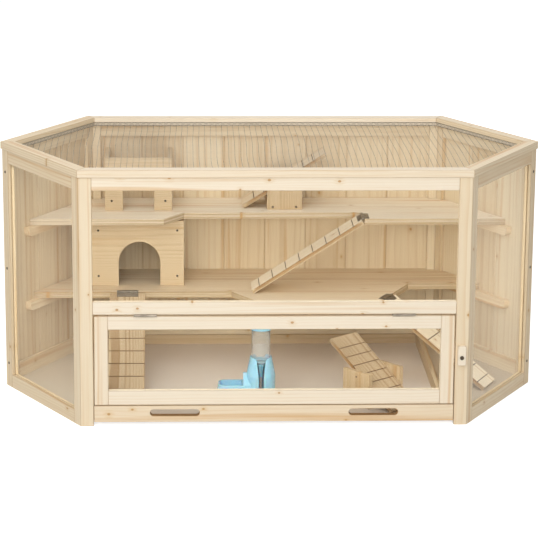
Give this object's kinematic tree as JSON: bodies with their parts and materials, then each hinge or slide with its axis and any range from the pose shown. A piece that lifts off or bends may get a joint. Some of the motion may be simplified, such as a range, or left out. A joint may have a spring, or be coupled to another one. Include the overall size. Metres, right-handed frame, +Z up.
{
  "type": "wooden hamster cage",
  "caption": "Six-sided wooden hamster cage with clear windows, hinged mesh lid and front door, pull-out drawer floor, stepped shelves, hinged ramps, seesaws, small houses and a feeder.",
  "frame": {"origin": "on the ground, under the middle of the cage", "axes": "+X to the right seen from the front, +Y to the back, +Z up"},
  "size_m": [1.1534, 0.6186, 0.541],
  "materials": {
    "pine": "sanded, bare",
    "board": "sanded, bare",
    "shelf_wood": "sanded, bare",
    "house_wood": "sanded, bare",
    "floor_sheet": "thin pale board",
    "clear_pane": "clear plastic sheet",
    "wire": "galvanised",
    "hinge_steel": "plated",
    "screw_steel": "plated",
    "blue_plastic": "moulded",
    "bottle_plastic": "clear moulded plastic"
  },
  "bodies": {
    "root": {"front_left_post": "pine", "front_right_post": "pine", "front_top_rail": "pine", "front_mid_rail": "pine", "left_front_frame": "pine", "right_front_frame": "pine", "back_frame": "pine", "left_back_frame": "pine", "right_back_frame": "pine", "drawer_runners": "pine", "shelf_battens": "pine", "back_boards": "board", "left_back_boards": "board", "right_back_boards": "board", "upper_shelf": "shelf_wood", "mid_shelf": "shelf_wood", "lower_house_front": "house_wood", "lower_house_sides": "house_wood", "upper_house_front": "house_wood", "upper_house_sides": "house_wood", "floor_seesaw_stand": "house_wood", "upper_seesaw_stand": "house_wood", "side_floors": "floor_sheet", "front_window": "clear_pane", "left_front_window": "clear_pane", "right_front_window": "clear_pane", "fixed_hinge_leaves": "hinge_steel", "hinge_pins": "hinge_steel", "seesaw_pins": "hinge_steel", "frame_screws": "screw_steel", "house_screws": "screw_steel", "button_screw": "screw_steel", "drink_spout": "screw_steel", "feeder_stand": "blue_plastic", "bottle_caps": "blue_plastic", "water_bottle": "bottle_plastic"},
    "lid": {"lid_front_rail": "pine", "lid_back_rail": "pine", "lid_side_rails": "pine", "lid_mesh": "wire", "lid_hinge_leaves": "hinge_steel"},
    "door": {"door_left_stile": "pine", "door_right_stile": "pine", "door_top_rail": "pine", "door_bottom_rail": "pine", "door_window": "clear_pane", "door_hinge_leaves": "hinge_steel"},
    "drawer": {"drawer_front": "pine", "drawer_floor": "floor_sheet", "drawer_walls": "house_wood"},
    "button": {"turn_button": "pine"},
    "upper_ramp_board": {"upper_ramp": "shelf_wood", "upper_ramp_leaf": "hinge_steel"},
    "left_ramp_board": {"left_ramp": "shelf_wood", "left_ramp_leaf": "hinge_steel"},
    "right_ramp_board": {"right_ramp": "shelf_wood", "right_ramp_leaf": "hinge_steel"},
    "floor_seesaw_top": {"floor_seesaw_board": "house_wood"},
    "upper_seesaw_top": {"upper_seesaw_board": "house_wood"}
  },
  "joints": [
    {"name": "lid_hinge", "type": "hinge", "parent": "root", "child": "lid", "pos_m": [0, 0.306, 0.525], "axis": [-1, 0, 0], "range_deg": [0, 110]},
    {"name": "door_hinge", "type": "hinge", "parent": "root", "child": "door", "pos_m": [0, -0.3016, 0.237], "axis": [-1, 0, 0], "range_deg": [0, 170]},
    {"name": "drawer_slide", "type": "slide", "parent": "root", "child": "drawer", "axis": [0, -1, 0], "range_m": [0, 0.34]},
    {"name": "turn_button_pivot", "type": "hinge", "parent": "root", "child": "button", "pos_m": [0.386, -0.3043, 0.147], "axis": [0, -1, 0], "range_deg": [0, 90]},
    {"name": "upper_ramp_hinge", "type": "hinge", "parent": "root", "child": "upper_ramp_board", "pos_m": [0.208, 0.102, 0.3535], "axis": [0, 1, 0], "range_deg": [0, 65]},
    {"name": "left_ramp_hinge", "type": "hinge", "parent": "root", "child": "left_ramp_board", "pos_m": [-0.3095, 0.084, 0.1865], "axis": [-1, 0, 0], "range_deg": [0, 115]},
    {"name": "right_ramp_hinge", "type": "hinge", "parent": "root", "child": "right_ramp_board", "pos_m": [0.26279, 0.03566, 0.1865], "axis": [-0.4454, -0.8954, 0], "range_deg": [0, 14]},
    {"name": "floor_seesaw_pivot", "type": "hinge", "parent": "root", "child": "floor_seesaw_top", "pos_m": [0.215, -0.168, 0.075], "axis": [-0.7536, -0.6574, 0], "range_deg": [0, 65.4]},
    {"name": "upper_seesaw_pivot", "type": "hinge", "parent": "root", "child": "upper_seesaw_top", "pos_m": [0.039, 0.22, 0.416], "axis": [0, 1, 0], "range_deg": [0, 65.4]}
  ]
}
